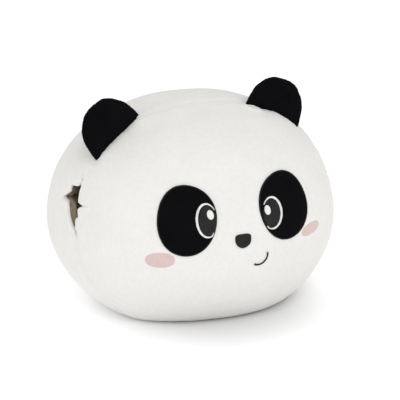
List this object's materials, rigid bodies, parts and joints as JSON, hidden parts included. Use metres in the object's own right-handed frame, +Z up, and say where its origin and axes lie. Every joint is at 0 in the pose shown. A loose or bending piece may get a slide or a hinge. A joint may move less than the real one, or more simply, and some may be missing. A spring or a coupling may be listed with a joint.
{
  "type": "plush panda cushion",
  "caption": "Round panda-faced plush cushion with padded ears that fold and a lined tunnel through it that warms both hands.",
  "frame": {"origin": "middle of the cushion's plan on the surface it rests on", "axes": "+Z up, the face looks along -Y, and the hand tunnel runs along X"},
  "size_m": [0.3386, 0.3047, 0.2611],
  "materials": {
    "white_pile": "matte",
    "fleece_lining": "matte",
    "fibre_fill": "matte",
    "elastic": "matte",
    "white_thread": "satin",
    "black_velour": "matte",
    "grey_thread": "satin",
    "pink_pile": "matte",
    "label_tape": "satin"
  },
  "bodies": {
    "cushion": {"front_panel": "white_pile", "back_panel": "white_pile", "filling": "fibre_fill", "hand_tunnel_liner": "fleece_lining", "cuff_hem_right": "white_pile", "cuff_hem_left": "white_pile", "cuff_elastic_right": "elastic", "cuff_elastic_left": "elastic", "main_seam_thread": "white_thread", "closing_stitches": "white_thread", "care_label": "label_tape", "eye_patch_right": "black_velour", "eye_patch_left": "black_velour", "iris_right": "grey_thread", "iris_left": "grey_thread", "iris_outline_right": "white_thread", "iris_outline_left": "white_thread", "eye_glint_right": "white_thread", "eye_glint_left": "white_thread", "nose": "grey_thread", "mouth": "grey_thread", "cheek_right": "pink_pile", "cheek_left": "pink_pile"},
    "ear_right": {"ear_right_front": "black_velour", "ear_right_back": "black_velour", "ear_right_filling": "fibre_fill"},
    "ear_left": {"ear_left_front": "black_velour", "ear_left_back": "black_velour", "ear_left_filling": "fibre_fill"}
  },
  "joints": [
    {"name": "ear_right_fold", "type": "hinge", "parent": "cushion", "child": "ear_right", "pos_m": [-0.10579, -0.03041, 0.21284], "axis": [0.8273, 0.0887, 0.5546], "range_deg": [-15, 45], "stiffness_Nm_per_rad": 0.06},
    {"name": "ear_left_fold", "type": "hinge", "parent": "cushion", "child": "ear_left", "pos_m": [0.0943, -0.02938, 0.2193], "axis": [0.8718, -0.0774, -0.4837], "range_deg": [-15, 45], "stiffness_Nm_per_rad": 0.06}
  ]
}
